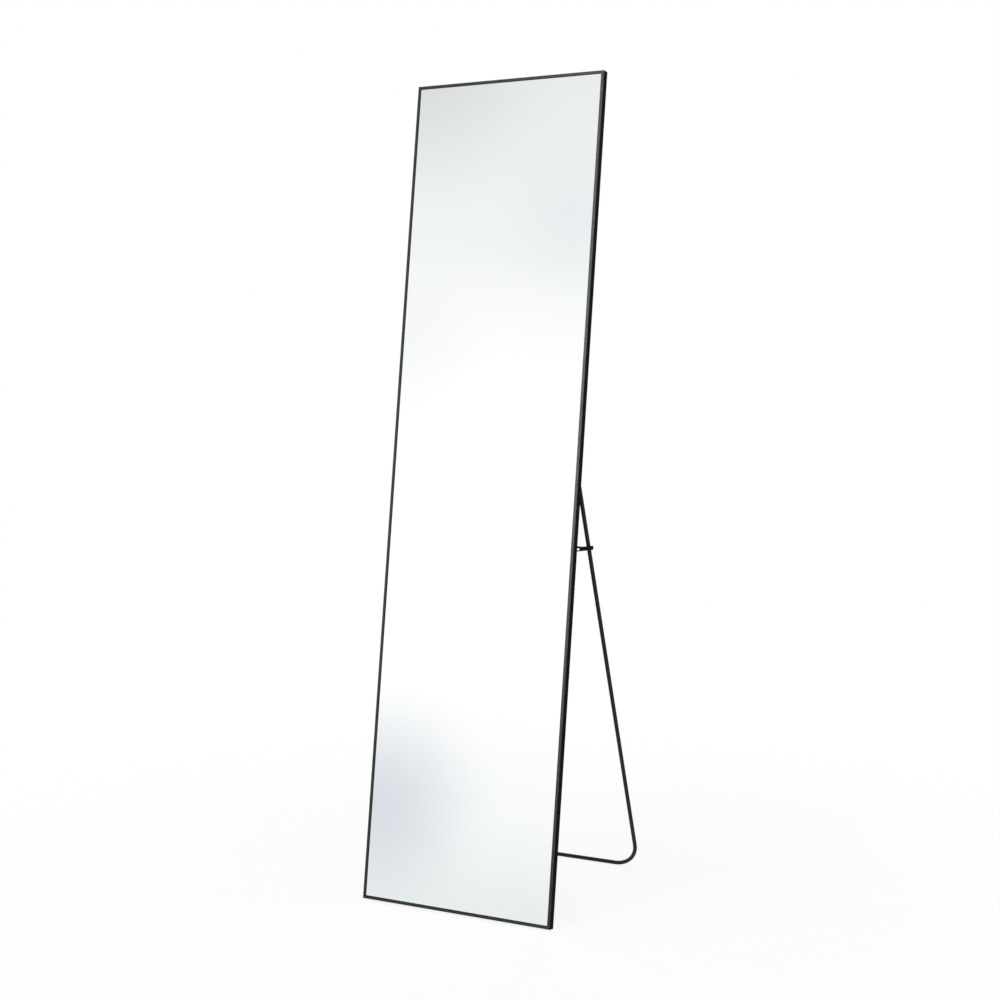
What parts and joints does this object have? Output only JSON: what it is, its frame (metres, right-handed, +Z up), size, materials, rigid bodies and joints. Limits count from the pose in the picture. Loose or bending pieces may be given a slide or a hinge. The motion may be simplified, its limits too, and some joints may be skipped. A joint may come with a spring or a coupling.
{
  "type": "leaning floor mirror",
  "caption": "Tall narrow mirror in a slim black frame, leaning back on a folding U-shaped tube stand whose opening is limited by two swinging arms and a rod.",
  "frame": {"origin": "on the floor, in the middle of the footprint of the mirror and its open stand", "axes": "+Z up, +Y from the front of the mirror to its back, +X to the right seen from the front"},
  "size_m": [0.405, 0.4508, 1.5874],
  "materials": {
    "frame_black": "satin",
    "black_steel": "satin",
    "mirror": "polished",
    "film": "matte",
    "foam": "matte",
    "fibreboard": "matte",
    "zinc_steel": "satin",
    "rivet": "satin",
    "rubber": "matte"
  },
  "bodies": {
    "mirror": {"bottom_rail": "frame_black", "top_rail": "frame_black", "right_stile": "frame_black", "left_stile": "frame_black", "corner_keys": "zinc_steel", "corner_screws": "zinc_steel", "mirror_glass": "mirror", "safety_film": "film", "foam_sheet": "foam", "backboard": "fibreboard", "right_hinge_bracket": "black_steel", "left_hinge_bracket": "black_steel", "hinge_bracket_rivets": "rivet", "hinge_washers": "zinc_steel", "hinge_bolts": "zinc_steel", "hinge_nuts": "zinc_steel", "right_limiter_bracket": "black_steel", "left_limiter_bracket": "black_steel", "limiter_bracket_rivets": "rivet", "foot_pads": "rubber"},
    "stand": {"stand_tube": "black_steel", "right_leg_eye": "black_steel", "left_leg_eye": "black_steel"},
    "limiter": {"right_limiter_arm": "black_steel", "left_limiter_arm": "black_steel", "limiter_rod": "black_steel"}
  },
  "joints": [
    {"name": "stand_fold", "type": "hinge", "parent": "mirror", "child": "stand", "pos_m": [0, -0.08124, 0.84213], "axis": [1, 0, 0], "range_deg": [-27.86, 0]},
    {"name": "limiter_swing", "type": "hinge", "parent": "mirror", "child": "limiter", "pos_m": [0, -0.10649, 0.69117], "axis": [1, 0, 0], "range_deg": [-88.88, 0]}
  ],
  "couplings": [
    {"joint": "limiter_swing", "follows": "stand_fold", "ratio": 3.1904}
  ]
}
